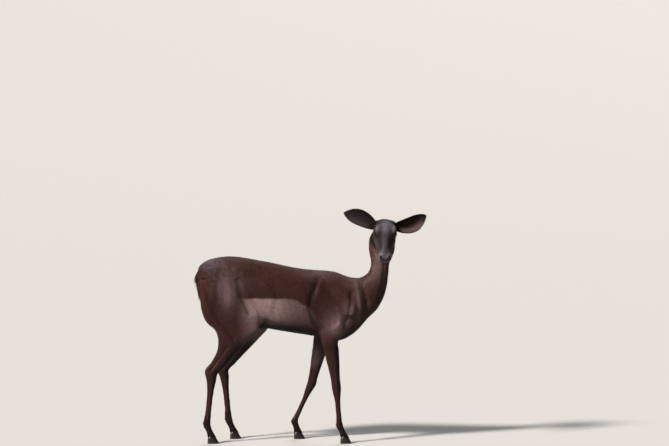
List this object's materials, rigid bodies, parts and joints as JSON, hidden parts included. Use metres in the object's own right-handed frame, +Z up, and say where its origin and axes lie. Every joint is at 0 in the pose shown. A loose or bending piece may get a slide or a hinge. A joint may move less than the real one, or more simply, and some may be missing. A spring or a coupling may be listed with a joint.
{
  "type": "antelope figure",
  "caption": "Hornless impala ewe of the black form, life size, standing mid-step with the head turned to its right and the ears spread.",
  "frame": {"origin": "on the ground, under the middle of the bounding box", "axes": "+X from tail to chest, +Y to the animal's left, +Z up; the head faces -Y"},
  "size_m": [1.1387, 0.3136, 1.1479],
  "materials": {
    "body_coat": "short sleek dark chocolate hair with a satin sheen",
    "ear_coat": "very short dark hair, paler and thinner inside the ear",
    "tail_hair": "long dark hair hanging in a narrow tail",
    "eye": "wet, glossy, almost black brown",
    "hoof": "smooth dark horn, slightly worn at the ground"
  },
  "bodies": {
    "root": {"trunk": "body_coat", "neck": "body_coat", "head": "body_coat", "ear_left": "ear_coat", "ear_right": "ear_coat", "tail": "tail_hair", "forearm_left": "body_coat", "forearm_right": "body_coat", "fore_cannon_left": "body_coat", "fore_cannon_right": "body_coat", "thigh_left": "body_coat", "thigh_right": "body_coat", "gaskin_left": "body_coat", "gaskin_right": "body_coat", "hind_cannon_left": "body_coat", "hind_cannon_right": "body_coat", "eye_left": "eye", "eye_right": "eye", "claw_fore_left_inner": "hoof", "claw_fore_left_outer": "hoof", "claw_fore_right_inner": "hoof", "claw_fore_right_outer": "hoof", "claw_hind_left_inner": "hoof", "claw_hind_left_outer": "hoof", "claw_hind_right_inner": "hoof", "claw_hind_right_outer": "hoof"}
  },
  "joints": []
}
